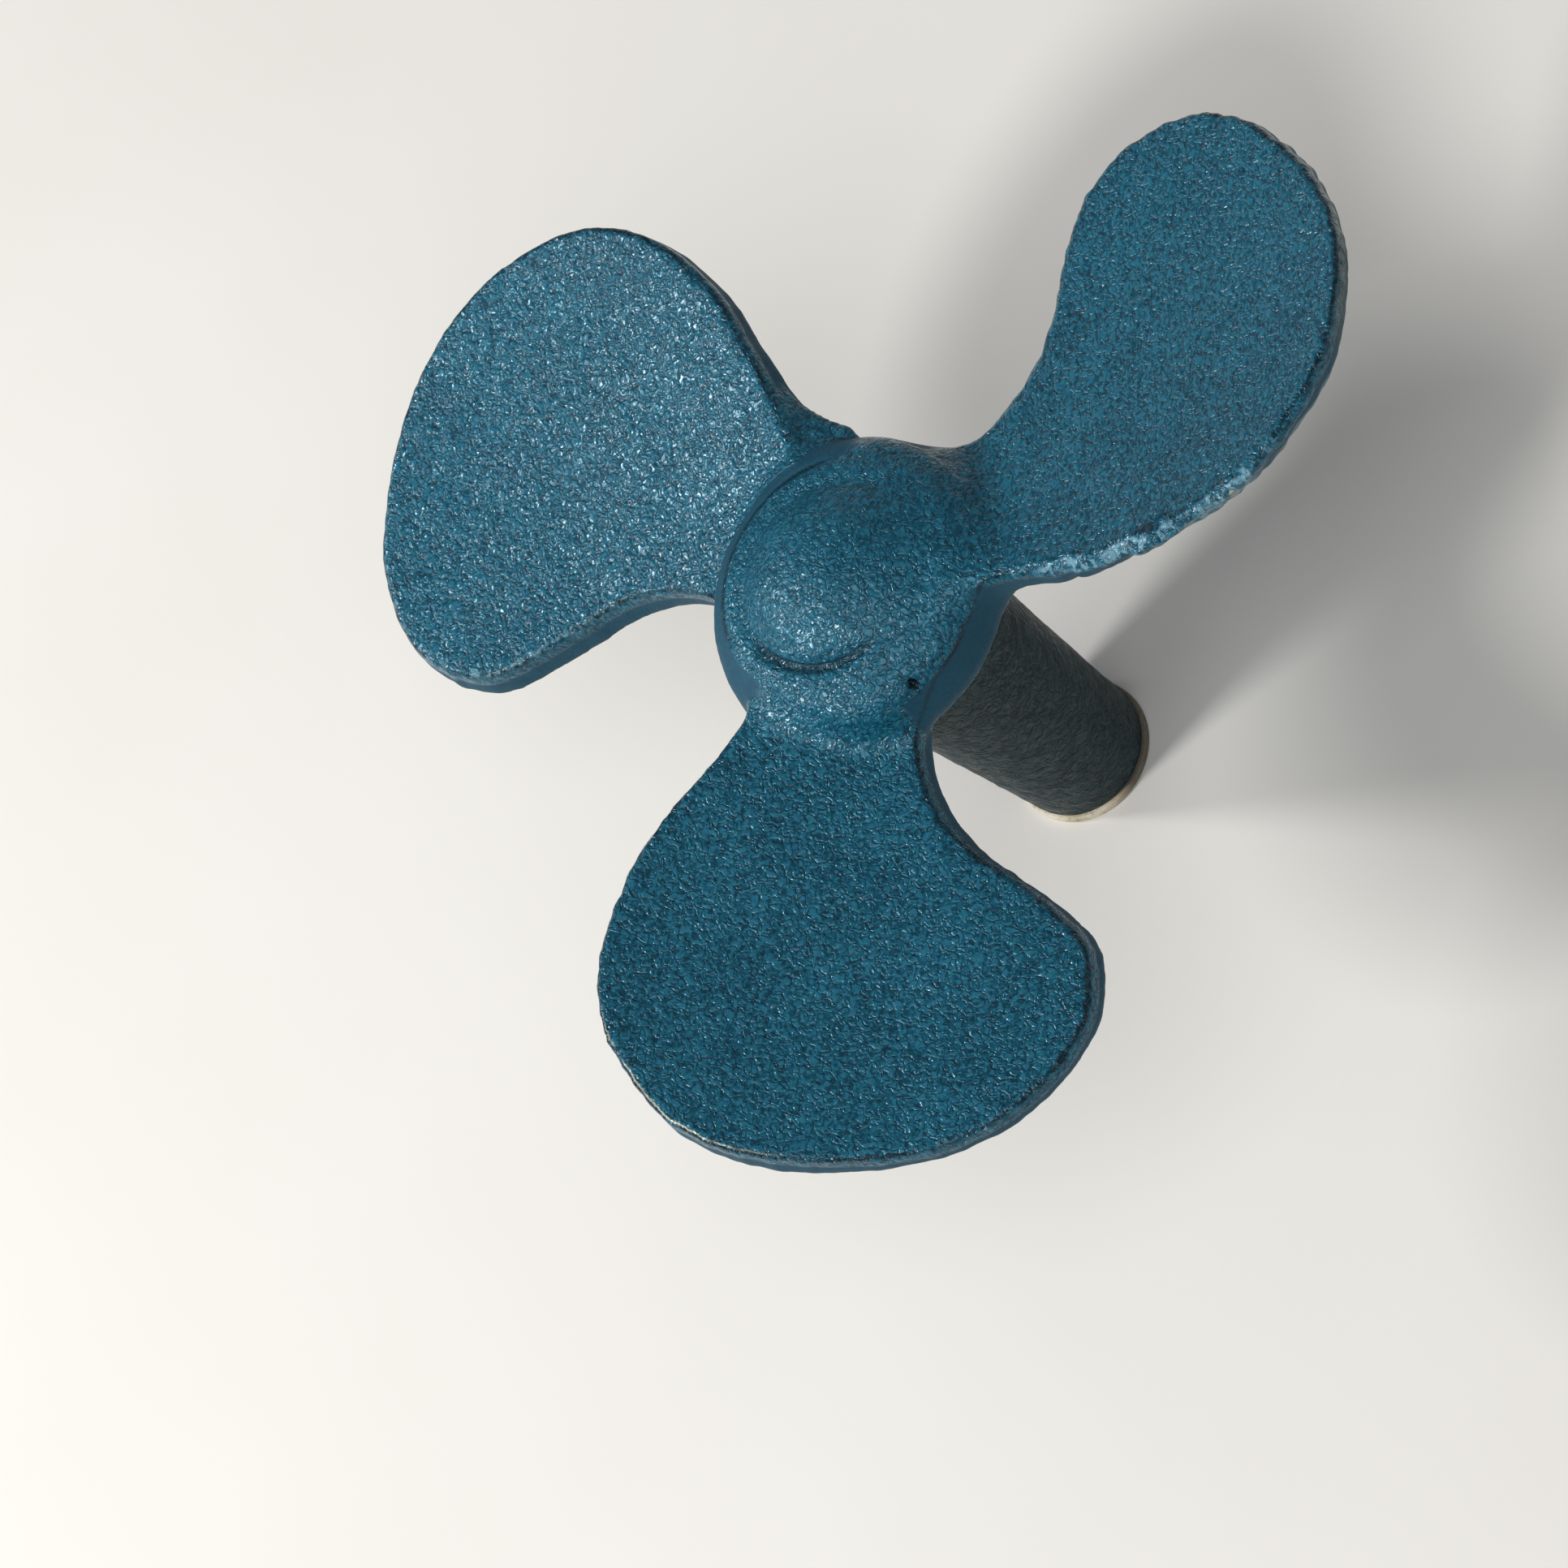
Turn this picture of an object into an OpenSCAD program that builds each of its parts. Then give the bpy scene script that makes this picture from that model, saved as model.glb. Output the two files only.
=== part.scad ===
// Three-bladed cast boat propeller that turns on a stand-off post.
// +Z runs along the post towards the nose; z = 0 is the face that rests on
// the board. One blade hangs towards -Y. Everything below z = 0 is behind
// or inside the board that carries the part.

/* [Propeller casting] */
// Diameter over the blade tips
prop_d = 129; // [120:0.5:134]
// Thickness of a blade, measured along the axis
blade_t = 4.2; // [3.2:0.1:5]
// Radius of the dished front face of a blade
dish_r = 182; // [170:1:200]
// Largest radius of the hub
hub_r = 16.6; // [16:0.1:17.6]
// Radius of the raised disc on the nose
nose_r = 10; // [8.5:0.1:11]
// Height of the domed nose above the hub
nose_h = 3.8; // [2.5:0.1:4.5]
// Angle of each blade about the axis
blade_at = [29.5, 149.5, 271.5];

/* [Post] */
// Radius of the post where it meets the foot washer
post_foot_r = 8; // [7.5:0.1:8.2]
// Radius of the post behind the hub
post_top_r = 10.5; // [9.5:0.1:11]
// Height of the post's front end above the board
post_top_z = 46.4; // [40:0.1:50]
// Thickness of the pale washer under the post
foot_t = 1; // [0.8:0.1:1.6]
// Outer radius of the pale washer under the post
foot_r = 8.3; // [8.2:0.1:9.5]

/* [Spindle and bush] */
// Radius of the spindle, M8
spindle_r = 4; // [3.9:0.05:4.1]
// Radial clearance of the bush on the spindle
run_gap = 0.05; // [0.02:0.01:0.09]
// Outer radius of the bush pressed into the hub
bush_r = 7; // [6.5:0.1:8]
// Radius of the spindle's head
head_r = 5.5; // [5:0.1:5.8]
// Thickness of the spindle's head
head_t = 3; // [2.5:0.1:3]

/* [Fastening behind the board] */
// Thickness of the board that is clamped
board_t = 19; // [16:0.5:22]
// Outer radius of the steel washer behind the board
back_washer_r = 8; // [8:0.5:12]
// Width of the hexagon nut across its flats
nut_af = 13; // [12.8:0.1:13.2]
// Height of the nut
nut_h = 6.5; // [6:0.1:6.8]
// Thread left standing behind the nut
stud_end = 5; // [4:0.5:8]

/* [Hidden] */
$fn = 96;
// front end of the post, thrust washer and the running gap before the hub
thrust_t = 0.8;
thrust_r = 9;
face_gap = 0.3;
hub_back_z = post_top_z + thrust_t + face_gap;
// hub section: a small round at the back, a large one at the front
back_round = 3;
front_round = 6.9;
wide_z = hub_back_z + back_round;
shoulder_z = wide_z + front_round;
nose_z = shoulder_z + nose_h;
// groove that sets the nose off from the shoulder
groove_w = 1;
groove_d = 0.5;
// bush, then the chamber that traps the spindle's head
bush_len = 6.5;
head_gap = 0.3;
bush_front_z = hub_back_z + bush_len;
head_z = bush_front_z + head_gap;
chamber_r = head_r + 0.5;
chamber_top_z = head_z + head_t + head_gap;
// stack behind the board
washer_t = 1.6;
lock_t = 2;
lock_slot = 1.2;
clear_r = spindle_r + 0.2;
thread_fit = 0.05;
back_washer_z = -board_t - washer_t;
lock_z = back_washer_z - lock_t;
nut_z = lock_z - nut_h;
stud_z = nut_z - stud_end;
end_chamfer = 0.8;

// Blade outline in its own frame: first number out from the axis, second
// number to the left of that line. It starts and ends inside the hub.
root_u = 12;
full_d = 127;
outline = [
    [12, -7.4], [18, -10.6], [25, -14.4], [33, -17.4], [42, -18.2],
    [50, -16.2], [56.8, -10.9], [60.9, -3.8], [62.7, 4], [62.4, 12.2],
    [59.8, 20.6], [54.9, 28.3], [46.8, 32.5], [38, 30.6], [32, 23.4],
    [28, 16.6], [24, 12.5], [18.5, 9.8], [12, 8.4]
];
// Centre of the dish, measured from the blade's line and the board
dish_u = 16.5;
dish_v = 50;
dish_z = wide_z + sqrt(dish_r * dish_r - dish_v * dish_v) + 2.2;
reach = (prop_d - 2 * root_u) / (full_d - 2 * root_u);

// Point on a smooth curve through b and c, with a and d as its neighbours
function blend(a, b, c, d, t) =
    (2 * b + (c - a) * t + (2 * a - 5 * b + 4 * c - d) * t * t
     + (3 * b - a - 3 * c + d) * t * t * t) / 2;

function smooth(p, steps) = [
    for (i = [0 : len(p) - 2], k = [0 : steps - 1])
        blend(p[max(i - 1, 0)], p[i], p[i + 1], p[min(i + 2, len(p) - 1)],
              k / steps),
    p[len(p) - 1]
];

function arc(c, r, from, to, steps) = [
    for (k = [0 : steps])
        let (a = from + (to - from) * k / steps)
            c + r * [cos(a), sin(a)]
];

// Washer or sleeve from z0 up
module ring(z0, h, outer, inner) {
    translate([0, 0, z0])
        difference() {
            cylinder(h = h, r = outer);
            translate([0, 0, -1]) cylinder(h = h + 2, r = inner);
        }
}

module blade() {
    intersection() {
        translate([0, 0, hub_back_z - 10])
            linear_extrude(height = 40)
                polygon([
                    for (p = smooth(outline, 3))
                        [root_u + (p[0] - root_u) * reach, p[1] * reach]
                ]);
        translate([dish_u, dish_v, dish_z])
            difference() {
                sphere(r = dish_r + blade_t, $fn = 240);
                sphere(r = dish_r, $fn = 240);
            }
    }
}

// Half section of the hub with its domed nose
module hub_section() {
    dome_r = (nose_r * nose_r + nose_h * nose_h) / (2 * nose_h);
    groove_r = nose_r + groove_w;
    polygon(concat(
        [[0, hub_back_z]],
        arc([hub_r - back_round, wide_z], back_round, -90, 0, 5),
        arc([hub_r - front_round, wide_z], front_round, 6, 74, 8),
        [[groove_r, shoulder_z - groove_d / 2],
         [groove_r - groove_w / 2, shoulder_z - groove_d],
         [nose_r, shoulder_z - groove_d / 2]],
        arc([0, nose_z - dome_r], dome_r,
            acos(nose_r / dome_r), 90, 8)
    ));
}

// One iron casting: hub, nose and three blades, bored from behind
module propeller() {
    color([0.20, 0.40, 0.48])
        difference() {
            union() {
                rotate_extrude() hub_section();
                for (a = blade_at) rotate([0, 0, a]) blade();
            }
            translate([0, 0, hub_back_z - 5])
                cylinder(h = bush_len + 5, r = bush_r);
            translate([0, 0, bush_front_z - 1])
                cylinder(h = chamber_top_z - bush_front_z + 1, r = chamber_r);
        }
}

// Bronze bush: it turns with the hub and holds the spindle's head captive
module hub_bush() {
    color([0.66, 0.49, 0.26])
        ring(hub_back_z, bush_len, bush_r, spindle_r + run_gap);
}

// Headed steel spindle that runs through the post and the board
module spindle() {
    color([0.72, 0.73, 0.75]) {
        translate([0, 0, head_z]) cylinder(h = head_t, r = head_r);
        translate([0, 0, stud_z + end_chamfer])
            cylinder(h = head_z - stud_z - end_chamfer + 0.5, r = spindle_r);
        translate([0, 0, stud_z])
            cylinder(h = end_chamfer, r1 = spindle_r - end_chamfer, r2 = spindle_r);
    }
}

// Nylon washer between the post and the turning hub
module thrust_washer() {
    color([0.88, 0.87, 0.82])
        ring(post_top_z, thrust_t, thrust_r, clear_r);
}

// Tapered stand-off sleeve, narrower at the board
module post() {
    color([0.22, 0.27, 0.29])
        difference() {
            translate([0, 0, foot_t])
                cylinder(h = post_top_z - foot_t, r1 = post_foot_r, r2 = post_top_r);
            translate([0, 0, foot_t - 1])
                cylinder(h = post_top_z + 2, r = clear_r);
        }
}

// Thin pale washer between the post and the board
module foot_washer() {
    color([0.85, 0.81, 0.72])
        ring(0, foot_t, foot_r, clear_r);
}

module back_washer() {
    color([0.75, 0.76, 0.77])
        ring(back_washer_z, washer_t, back_washer_r, clear_r);
}

// Split spring washer, drawn in tight
module lock_washer() {
    color([0.62, 0.63, 0.65])
        difference() {
            ring(lock_z, lock_t, spindle_r + 2.9, clear_r);
            translate([spindle_r - 1, -lock_slot / 2, lock_z - 1])
                cube([6, lock_slot, lock_t + 2]);
        }
}

// Hexagon nut with its corners turned off at both faces
module back_nut() {
    corner_r = nut_af / 2 / cos(30);
    bevel = 0.6;
    color([0.70, 0.71, 0.73])
        translate([0, 0, nut_z])
            difference() {
                intersection() {
                    cylinder(h = nut_h, r = corner_r, $fn = 6);
                    union() {
                        cylinder(h = bevel, r1 = nut_af / 2 - 0.1, r2 = corner_r);
                        translate([0, 0, bevel])
                            cylinder(h = nut_h - 2 * bevel, r = corner_r);
                        translate([0, 0, nut_h - bevel])
                            cylinder(h = bevel, r1 = corner_r, r2 = nut_af / 2 - 0.1);
                    }
                }
                translate([0, 0, -1])
                    cylinder(h = nut_h + 2, r = spindle_r + thread_fit);
            }
}

propeller();
hub_bush();
spindle();
thrust_washer();
post();
foot_washer();
back_washer();
lock_washer();
back_nut();
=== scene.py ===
"""Cast iron boat propeller, painted teal, that turns on a slate-grey stand-off post.

The casting is a distance field (turned hub, three dished blades, soft root fillets, ragged rims)
made into one mesh. The post and the hardware are turned meshes. Fields work in millimetres, and
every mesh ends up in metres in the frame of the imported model.
"""
import itertools
import math

import bpy
import numpy as np
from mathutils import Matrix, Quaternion, Vector


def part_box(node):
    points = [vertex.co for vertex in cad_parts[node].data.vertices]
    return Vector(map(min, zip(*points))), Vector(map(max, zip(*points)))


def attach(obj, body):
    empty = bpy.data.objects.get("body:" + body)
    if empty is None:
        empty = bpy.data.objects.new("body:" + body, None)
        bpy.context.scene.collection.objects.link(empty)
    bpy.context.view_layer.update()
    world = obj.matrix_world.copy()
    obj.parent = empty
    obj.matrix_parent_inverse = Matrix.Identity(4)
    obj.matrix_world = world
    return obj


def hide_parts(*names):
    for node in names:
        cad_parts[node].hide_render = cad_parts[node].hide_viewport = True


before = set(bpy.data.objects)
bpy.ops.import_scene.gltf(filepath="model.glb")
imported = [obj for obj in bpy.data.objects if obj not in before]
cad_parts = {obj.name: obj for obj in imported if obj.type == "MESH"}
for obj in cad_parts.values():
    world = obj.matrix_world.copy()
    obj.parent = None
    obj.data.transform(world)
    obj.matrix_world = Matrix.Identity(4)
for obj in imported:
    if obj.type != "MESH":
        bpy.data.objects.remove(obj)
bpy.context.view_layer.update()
MM = 0.001


def box_mm(node):
    """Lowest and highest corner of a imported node, in millimetres."""
    low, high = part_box(node)
    return np.array(low) / MM, np.array(high) / MM


# ---------------------------------------------------------------- sizes, in millimetres
casting_low, casting_high = box_mm("propeller")
bush_low, bush_high = box_mm("hub_bush")
spindle_low, spindle_high = box_mm("spindle")
post_low, post_high = box_mm("post")

HUB_BACK_Z = bush_low[2]
HUB_R = 16.6
BACK_ROUND = 3.0
FRONT_ROUND = 6.9
WIDE_Z = HUB_BACK_Z + BACK_ROUND
SHOULDER_Z = WIDE_Z + FRONT_ROUND
NOSE_R = 10.0
NOSE_H = 3.8
NOSE_Z = SHOULDER_Z + NOSE_H
# where the hub's rough front meets its smooth wall: an angle on the front round
CREASE_ANGLE = 30.0
CREASE_Z = WIDE_Z + FRONT_ROUND * math.sin(math.radians(CREASE_ANGLE))
# the hub is fuller in the gaps between the blades: angle, half width in degrees, swell
WEBS = [(96.0, 60.0, 0.8), (-35.0, 48.0, 0.8), (-68.0, 30.0, 0.7), (-125.0, 30.0, 0.6)]
# on this side the nose runs on into the shoulder without a step
FULL_AT = 5.0
# the groove round the nose, and the angle where it is deepest
GROOVE_AT, GROOVE_W, GROOVE_D = 268.0, 0.8, 0.4
# the grooves fade in between these heights, so that they mark the hub's front only
FRONT_FROM, FRONT_TO = 54.0, 56.0
# an open seam between nose cap and wall, on the far side of the hub
SEAM_AT, SEAM_R, SEAM_D = 158.0, 13.2, 0.3
# the sand hole on the hub's side
PIT_AT, PIT_Z, PIT_SIZE, PIT_DEPTH = -46.3, 54.8, 0.7, 1.3

# the bore for the bush, and behind it the chamber that traps the spindle's head
BORE_R = bush_high[0] + 0.02
BORE_TOP = bush_high[2]
CHAMBER_R = 6.0
CHAMBER_TOP = spindle_high[2] + 0.3

# angle of each blade about the axis, named as the camera sees them. In a blade's own frame u
# runs out along it and v to its left
BLADE_AT = {"right": 29.5, "left": 149.5, "lower": 271.5}
BLADE_T = 4.2
# a sphere dishes the front faces. On a blade's line, level with the sphere's centre, the face
# lies ROOT_RISE above the hub's widest ring
DISH_R = 182.0
DISH_U, DISH_V = 16.5, 50.0
ROOT_RISE = 2.2
DISH_AT = (DISH_U, DISH_V, WIDE_Z + math.sqrt(DISH_R**2 - DISH_V**2) + ROOT_RISE)
# how softly each blade grows out of the hub
ROOT_FILLET = {"right": 5.0, "left": 1.8, "lower": 2.2}
# the left blade's wall flares into the hub on its leading side: width of the blend
ROOT_FLARE = {"right": 0.0, "left": 17.5, "lower": 0.0}
# outline of a blade in its own frame, starting and ending inside the hub
OUTLINE = [
    (12, -7.4), (18, -10.6), (25, -14.4), (33, -17.4), (42, -18.2), (50, -16.1), (56.6, -10.6),
    (60.7, -3.6), (62.7, 4), (62.4, 12.2), (59.8, 20.6), (54.6, 27.8), (46.6, 32), (38, 30.4),
    (32, 23.4), (28, 16.6), (24, 12.5), (18.5, 9.8), (12, 8.4),
]
# how far the chipped bevel eats into each blade's front rim, and how ragged its rim is
CHIPPED = {"right": 1.5, "left": 0.4, "lower": 0.3}
RAGGED = {"right": 0.42, "left": 0.16, "lower": 0.28}

# the walls spread towards the back, as a pattern's do
DRAFT = 0.75
# where a blade's back rim is cut away, and where its outline is fuller than the pattern's:
# direction seen from the middle of the blade, half width in degrees, and size
MIDDLE = (38.0, 6.0)
BACK_CUT = {
    "right": [(-10.0, 75.0, 1.6), (-88.0, 58.0, 2.7)],
    "left": [],
    "lower": [(35.0, 45.0, 1.3), (72.0, 30.0, 1.2)],
}
FULLER = {
    "right": [(-15.0, 45.0, 0.55), (62.0, 38.0, 0.95), (125.0, 32.0, -0.4)],
    "left": [(64.0, 36.0, 0.7), (110.0, 20.0, -0.3), (-85.0, 50.0, 0.6)],
    "lower": [(-30.0, 20.0, 0.5), (-76.0, 20.0, 0.35), (8.0, 26.0, -0.55), (55.0, 26.0, -0.2),
              (-115.0, 40.0, 0.5)],
}
# worn rims, whose pale colour is partly painted highlight, and walls that show paler than the paint:
# direction, half width and strength
WORN_AND_GLINT_RIM = {"right": [], "left": [(90.0, 75.0, 1.0)], "lower": []}
GREY_WALL = {"right": [(-5.0, 42.0, 1.0)], "left": [], "lower": []}
SCUFFED_RIM = {"right": [], "left": [], "lower": [(-36.0, 40.0, 1.0)]}

# cell of the grid that the casting is sampled on, and the heights of its relief
CELL = 0.47
FACE_GRAIN = 0.08
WALL_GRAIN = 0.05
CRUST_GRAIN = 0.16
SAG = 0.10

# the post, the spindle's shank, head and thread, and the holes that clear the shank
POST_FOOT_R = 8.0
POST_EDGE = 0.5
SHANK_R = 4.0
CLEAR_R = 4.2
HEAD_T = 3.0
THREAD_PITCH = 1.25
THREAD_DEPTH = 0.65
THREAD_TOP = -9.0
THREAD_CLEAR = 0.05

# ---------------------------------------------------------------- room, light and camera
# a hair under the foot washer's lower face, so that the two never share a plane
FLOOR_Z = -0.05
FLOOR_REACH = 4.0
AIM = Vector((-12.4, -17.0, 40.0)) * MM
VIEW_AZIMUTH, VIEW_ELEVATION, VIEW_ROLL = 62.76, 53.29, -57.98
VIEW_DISTANCE = 0.5529
LENS = 119.65
# name, azimuth, elevation, distance and size in metres, power in watts, colour
LIGHTS = [
    ("low_key", -42, 42, 0.9, 0.18, 4.6, (1.0, 0.99, 0.98)),
    ("side_key", -87, 37, 0.9, 0.16, 3.2, (1.0, 0.99, 0.98)),
    ("fill", 38, 60, 1.2, 1.0, 5.8, (1.0, 1.0, 1.0)),
]
WORLD_COLOUR, WORLD_STRENGTH = (0.95, 0.97, 1.0, 1.0), 0.22


# ---------------------------------------------------------------- noise and distance fields
class Noise:
    """Gradient noise on a repeating lattice, from about -1 to 1."""

    def __init__(self, seed, cells=48):
        arrows = np.random.default_rng(seed).normal(size=(cells, cells, cells, 3))
        self.arrows = arrows / np.linalg.norm(arrows, axis=-1, keepdims=True)
        self.cells = cells

    def __call__(self, points, size):
        place = points / size
        base = np.floor(place).astype(int)
        part = place - base
        ease = part**3 * (part * (6 * part - 15) + 10)
        total = np.zeros(len(points))
        for corner in itertools.product((0, 1), repeat=3):
            cell = (base + corner) % self.cells
            arrow = self.arrows[cell[:, 0], cell[:, 1], cell[:, 2]]
            lean = np.sum(arrow * (part - corner), axis=1)
            total += lean * np.prod(np.where(corner, ease, 1 - ease), axis=1)
        return total * 1.6


def smooth_curve(points, steps):
    """Points on a Catmull-Rom curve through the given ones."""
    points = np.array(points, float)
    last = len(points) - 1
    curve = []
    for i in range(last):
        a, b, c, d = (points[min(max(i + k, 0), last)] for k in (-1, 0, 1, 2))
        for t in np.arange(steps) / steps:
            curve.append((2 * b + (c - a) * t + (2 * a - 5 * b + 4 * c - d) * t**2
                          + (3 * b - a - 3 * c + d) * t**3) / 2)
    return np.array(curve + [points[last]])


def arc(centre, radius, start, end, steps):
    """Points on an arc between two angles in degrees."""
    angles = np.radians(np.linspace(start, end, steps + 1))
    return [(centre[0] + radius * math.cos(a), centre[1] + radius * math.sin(a)) for a in angles]


def polygon_distance(x, y, corners):
    """Signed distance to a closed outline, negative inside."""
    shape = np.broadcast_shapes(x.shape, y.shape)
    nearest = np.full(shape, np.inf)
    inside = np.zeros(shape, bool)
    for (ax, ay), (bx, by) in zip(corners, np.roll(corners, -1, axis=0)):
        ex, ey = bx - ax, by - ay
        along = np.clip(((x - ax) * ex + (y - ay) * ey) / (ex * ex + ey * ey), 0, 1)
        nearest = np.minimum(nearest, (x - ax - ex * along) ** 2 + (y - ay - ey * along) ** 2)
        if ey != 0:
            inside ^= ((ay > y) != (by > y)) & (x < ax + ex * (y - ay) / ey)
    return np.where(inside, -1, 1) * np.sqrt(nearest)


class Table:
    """A function of two lengths, kept on a fine grid and read between its points."""

    def __init__(self, function, low, high, cell):
        self.low, self.cell = low, cell
        x, y = (np.arange(low[k], high[k] + cell, cell) for k in range(2))
        self.values = function(x[:, None], y[None, :])

    def __call__(self, x, y):
        rows, columns = self.values.shape
        i = np.clip((x - self.low[0]) / self.cell, 0, rows - 1.001)
        j = np.clip((y - self.low[1]) / self.cell, 0, columns - 1.001)
        a, b = i.astype(int), j.astype(int)
        i, j = i - a, j - b
        near = self.values[a, b] * (1 - j) + self.values[a, b + 1] * j
        far = self.values[a + 1, b] * (1 - j) + self.values[a + 1, b + 1] * j
        return near * (1 - i) + far * i


def smooth_min(a, b, k):
    """The lesser of two distances, with a soft join where they differ by less than k."""
    blend = np.maximum(k - np.abs(a - b), 0)
    return np.minimum(a, b) - blend * blend / (4 * k)


def smooth_max(a, b, k):
    """The greater of two distances, with a soft join."""
    return -smooth_min(-a, -b, k)


def bump(value, centre, width):
    """Smooth hill of height 1 at centre, 0 beyond width."""
    return np.maximum(1 - ((value - centre) / width) ** 2, 0) ** 2


def step(value, low, high):
    """Smooth rise from 0 at low to 1 at high."""
    t = np.clip((value - low) / (high - low), 0, 1)
    return t * t * (3 - 2 * t)


# ---------------------------------------------------------------- the casting
OUTLINE_CURVE = smooth_curve(OUTLINE, 4)
rim_noise = Noise(11)
chip_noise = Noise(23)


def hub_section(full=False):
    """Half section of the hub. It runs on past the axis, so that the axis isn't an edge.
    A full section bridges the step between nose and shoulder."""
    dome_r = (NOSE_R**2 + NOSE_H**2) / (2 * NOSE_H)
    shoulder = (HUB_R - FRONT_ROUND, WIDE_Z)
    back = [(-30, HUB_BACK_Z)] + arc((HUB_R - BACK_ROUND, WIDE_Z), BACK_ROUND, -90, 0, 8)
    round_end, edge_r = (62, 0.65 * NOSE_R) if full else (74, NOSE_R)
    front = arc(shoulder, FRONT_ROUND, CREASE_ANGLE, round_end, 12)
    if not full:
        front += [(NOSE_R + GROOVE_W, SHOULDER_Z - 0.2), (NOSE_R, SHOULDER_Z - 0.1)]
    nose = arc((0, NOSE_Z - dome_r), dome_r, math.degrees(math.acos(edge_r / dome_r)), 90, 12)
    return np.array(back + front + nose + [(-30, NOSE_Z)])


def hub_table(section):
    """Distance to a hub section, over radius and height."""
    return Table(lambda r, z: polygon_distance(r, z, section), (0, 40), (70, 66), 0.1)


STEPPED_HUB, FULL_HUB = hub_table(hub_section()), hub_table(hub_section(full=True))


def turn_from(x, y, angle):
    """Degrees between a point's direction and an angle, from 0 to 180."""
    return np.abs((np.degrees(np.arctan2(y, x)) - angle + 180) % 360 - 180)


def in_blade_frame(x, y, angle):
    """Place along and to the left of a blade's line."""
    c, s = math.cos(math.radians(angle)), math.sin(math.radians(angle))
    return c * x + s * y, c * y - s * x


def leading_side(u, v):
    """1 along the middle of a blade's leading rim, fading to 0 away from it."""
    return step(-v, 2, 9) * bump(u, 34, 27)


def around_middle(u, v, hills):
    """Hills of given sizes in given directions from the middle of a blade."""
    turn = u - MIDDLE[0], v - MIDDLE[1]
    return sum((size * bump(turn_from(*turn, at), 0, width) for at, width, size in hills), 0 * u)


def blade_spots(u, v, name):
    """Points of a blade's own frame as rows for noise, at a height that differs by blade."""
    rows = [a.ravel() for a in np.broadcast_arrays(u, v)]
    return np.stack(rows + [np.full(rows[0].shape, 7.0 * BLADE_AT[name])], axis=1)


def rim_function(name):
    """Distance past the ragged rim of one blade, over the blade's own frame."""
    def rim(u, v):
        outline = polygon_distance(u, v, OUTLINE_CURVE)
        spots = blade_spots(u, v, name)
        wobble = rim_noise(spots, 4.5) + rim_noise(spots, 1.7)
        tips = np.maximum(rim_noise(spots + 31, 2.6) - 0.45, 0)
        jitter = (0.5 * wobble - 2.0 * tips).reshape(outline.shape)
        amount = RAGGED[name] * step(u, 17, 26) * (1 + CHIPPED[name] * leading_side(u, v))
        fuller = around_middle(u, v, FULLER[name]) * step(u, 20, 30)
        return outline + amount * jitter - fuller
    return rim


def bevel_function(name):
    """Size of the bevel on one blade's front rim. The leading side is chipped."""
    def bevel(u, v):
        leading = leading_side(u, v)
        chips = 0.7 + 0.5 * chip_noise(blade_spots(u, v, name), 2.1).reshape(leading.shape)
        return 0.35 + CHIPPED[name] * leading * chips
    return bevel


def blade_table(function):
    """A function over a blade's own frame, kept as a table that reaches past the tips."""
    return Table(function, (-70, -70), (70, 70), 0.25)


rim_of = {name: blade_table(rim_function(name)) for name in BLADE_AT}
bevel_of = {name: blade_table(bevel_function(name)) for name in BLADE_AT}


def blade_parts(x, y, z, name):
    """Distance past the rim, depth behind the front face, and bevel size, of one blade."""
    u, v = in_blade_frame(x, y, BLADE_AT[name])
    depth = np.sqrt((u - DISH_AT[0]) ** 2 + (v - DISH_AT[1]) ** 2 + (z - DISH_AT[2]) ** 2) - DISH_R
    rim = rim_of[name](u, v)
    spread = DRAFT * step(u, 18, 26)
    if ROOT_FLARE[name]:
        hub = np.hypot(x, y) - HUB_R
        flare = rim - smooth_min(rim, hub, ROOT_FLARE[name])
        spread = spread + flare * step(-v, 0, 6) * step(u, 6, 12)
    return rim - spread * np.clip(depth / BLADE_T, 0, 1), depth, bevel_of[name](u, v)


def blade_distance(x, y, z, name):
    """Distance to one blade: a slab along the dish inside its rim, bevelled at both rims."""
    rim, depth, bevel = blade_parts(x, y, z, name)
    back_cut = 0.5 + around_middle(*in_blade_frame(x, y, BLADE_AT[name]), BACK_CUT[name])
    slab = np.abs(depth - BLADE_T / 2) - BLADE_T / 2
    body = smooth_max(rim, slab, 0.5)
    body = smooth_max(body, (rim + depth - BLADE_T + back_cut) / math.sqrt(2), 0.6)
    return smooth_max(body, (rim - depth + bevel) / math.sqrt(2), 0.25)


def web_swell(x, y):
    """How much fuller the hub is in a direction."""
    return sum(size * bump(turn_from(x, y, at), 0, width) for at, width, size in WEBS)


def grooves(x, y):
    """Depth of the groove round the nose and of the seam on the far side."""
    radius = np.hypot(x, y)
    nose = GROOVE_D * step(-turn_from(x, y, GROOVE_AT), -65, -20)
    seam = SEAM_D * step(-turn_from(x, y, SEAM_AT), -65, -45)
    return nose * bump(radius, NOSE_R + GROOVE_W / 2, 0.9) + seam * bump(radius, SEAM_R, 0.6)


def hub_distance(x, y, z):
    """Distance to the solid hub with its webs, groove and seam."""
    radius = np.hypot(x, y)
    wide = radius - web_swell(x, y) * step(radius, 12, 16)
    full = step(-turn_from(x, y, FULL_AT), -85, -35)
    sunk = z + grooves(x, y) * step(z, FRONT_FROM, FRONT_TO)
    return STEPPED_HUB(wide, sunk) * (1 - full) + FULL_HUB(wide, sunk) * full


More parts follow.
